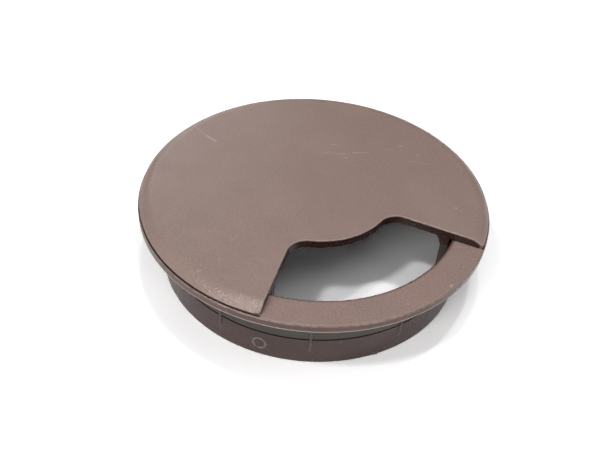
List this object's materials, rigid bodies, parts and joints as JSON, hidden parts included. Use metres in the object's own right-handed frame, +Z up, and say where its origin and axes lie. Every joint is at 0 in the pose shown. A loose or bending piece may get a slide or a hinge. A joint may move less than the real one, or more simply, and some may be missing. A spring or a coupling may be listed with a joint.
{
  "type": "cable grommet",
  "caption": "Round desk cable grommet: a flanged ring for a hole in a desk top, closed by a snap-in cap with a wave-shaped notch that lets cables out.",
  "frame": {"origin": "centre of the skirt's bottom rim, on the ring's axis", "axes": "+Z up through the flange and cap; the cable notch opens towards -Y; +X to the right seen from the notch side"},
  "size_m": [0.09, 0.09, 0.0212],
  "materials": {
    "ring_plastic": "fine spark-eroded grain on the flange, smoother skirt",
    "cap_plastic": "fine spark-eroded grain"
  },
  "bodies": {
    "root": {"base_ring": "ring_plastic", "cap": "cap_plastic"}
  },
  "joints": []
}
